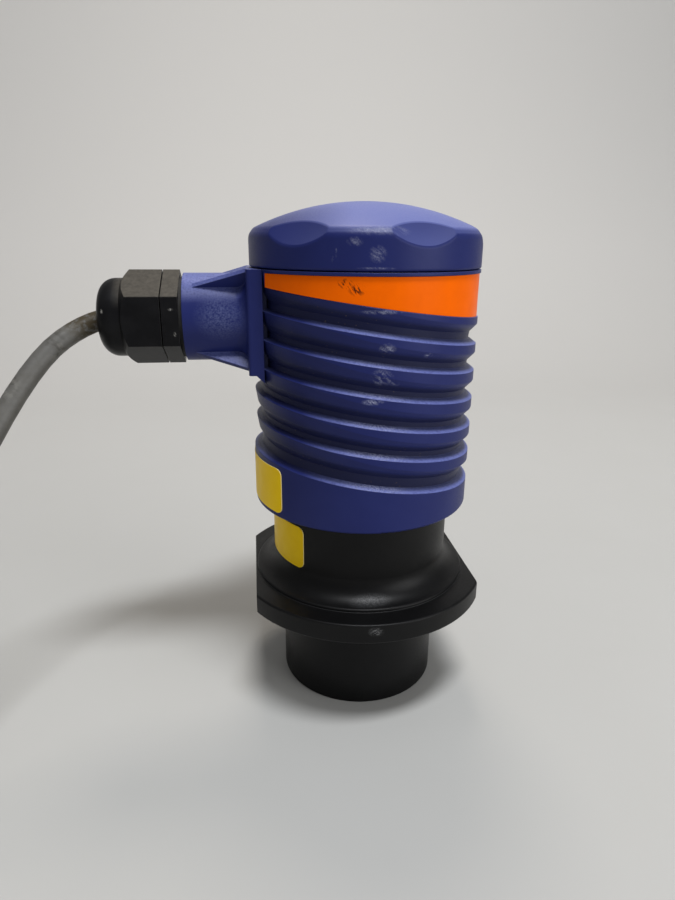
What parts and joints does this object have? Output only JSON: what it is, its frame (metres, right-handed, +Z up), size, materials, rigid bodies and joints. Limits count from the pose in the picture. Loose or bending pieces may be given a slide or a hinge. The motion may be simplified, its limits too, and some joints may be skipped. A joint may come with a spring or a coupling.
{
  "type": "ultrasonic level transmitter",
  "caption": "Upright ultrasonic level transmitter: black flanged sensor foot, slanted-rib blue housing with a screw cap, side cable gland and grey cable, for gauging tank levels.",
  "frame": {"origin": "centre of the sensor face, on which the transmitter stands", "axes": "+Z up along the housing's axis through the screw cap, -X out along the cable gland"},
  "size_m": [0.2696, 0.1011, 0.1585],
  "materials": {
    "blue_housing": "deep blue moulded plastic, fine matt texture",
    "black_transducer": "black moulded plastic, satin",
    "orange_band": "orange film, matt",
    "yellow_label": "yellow film, matt, bare",
    "black_gland": "black moulded polyamide",
    "grey_cable": "grey cable sheath, matt",
    "seal_rubber": "black seal rubber",
    "red_core": "insulated core",
    "bright_steel": "plated steel",
    "black_tie": "cable tie",
    "grey_deck": "moulded deck",
    "green_block": "terminal block plastic",
    "board": "circuit board laminate with solder mask",
    "ferrite": "ferrite and moulded chip bodies",
    "can": "capacitor cans",
    "white_connector": "connector plastic",
    "matching_foam": "syntactic matching layer",
    "piezo_ceramic": "silvered ceramic",
    "backing": "damping compound",
    "potting": "potting resin"
  },
  "bodies": {
    "base": {"transducer_body": "black_transducer", "housing": "blue_housing", "orange_band": "orange_band", "collar_label": "yellow_label", "neck_label": "yellow_label", "gland_washer": "seal_rubber", "gland_body": "black_gland", "neck_oring": "seal_rubber", "cable": "grey_cable", "cable_inner": "grey_cable", "cable_coil": "grey_cable", "cable_tail": "grey_cable", "coil_tie": "black_tie", "inner_cores": "red_core", "far_cores": "red_core", "far_ferrules": "bright_steel", "terminal_deck": "grey_deck", "deck_screws": "bright_steel", "terminal_block": "green_block", "terminal_screws": "bright_steel", "circuit_board": "board", "pulse_transformer": "ferrite", "controller_chip": "ferrite", "capacitors": "can", "board_connector": "white_connector", "transducer_lead": "grey_cable", "probe_lead": "grey_cable", "matching_layer": "matching_foam", "piezo_disc": "piezo_ceramic", "backing_plug": "backing", "potting": "potting", "temperature_probe": "bright_steel"},
    "cap_seal": {"cap_oring": "seal_rubber"},
    "screw_cap": {"cap": "blue_housing"},
    "gland_insert": {"gland_seal": "seal_rubber"},
    "dome_nut": {"gland_dome_nut": "black_gland"}
  },
  "joints": [
    {"name": "cap_lift", "type": "slide", "parent": "base", "child": "cap_seal", "axis": [0, 0, 1], "range_m": [0, 0.0076]},
    {"name": "cap_turn", "type": "hinge", "parent": "cap_seal", "child": "screw_cap", "pos_m": [0, 0, 0.14], "axis": [0, 0, 1], "range_deg": [0, 900]},
    {"name": "nut_travel", "type": "slide", "parent": "base", "child": "gland_insert", "axis": [-1, 0, 0], "range_m": [0, 0.0016]},
    {"name": "nut_turn", "type": "hinge", "parent": "gland_insert", "child": "dome_nut", "pos_m": [-0.07, 0, 0.1252], "axis": [-1, 0, 0], "range_deg": [0, 360]}
  ],
  "couplings": [
    {"joint": "cap_lift", "follows": "cap_turn", "m_per_rad": 0.00047746},
    {"joint": "nut_travel", "follows": "nut_turn", "m_per_rad": 0.00023873}
  ]
}
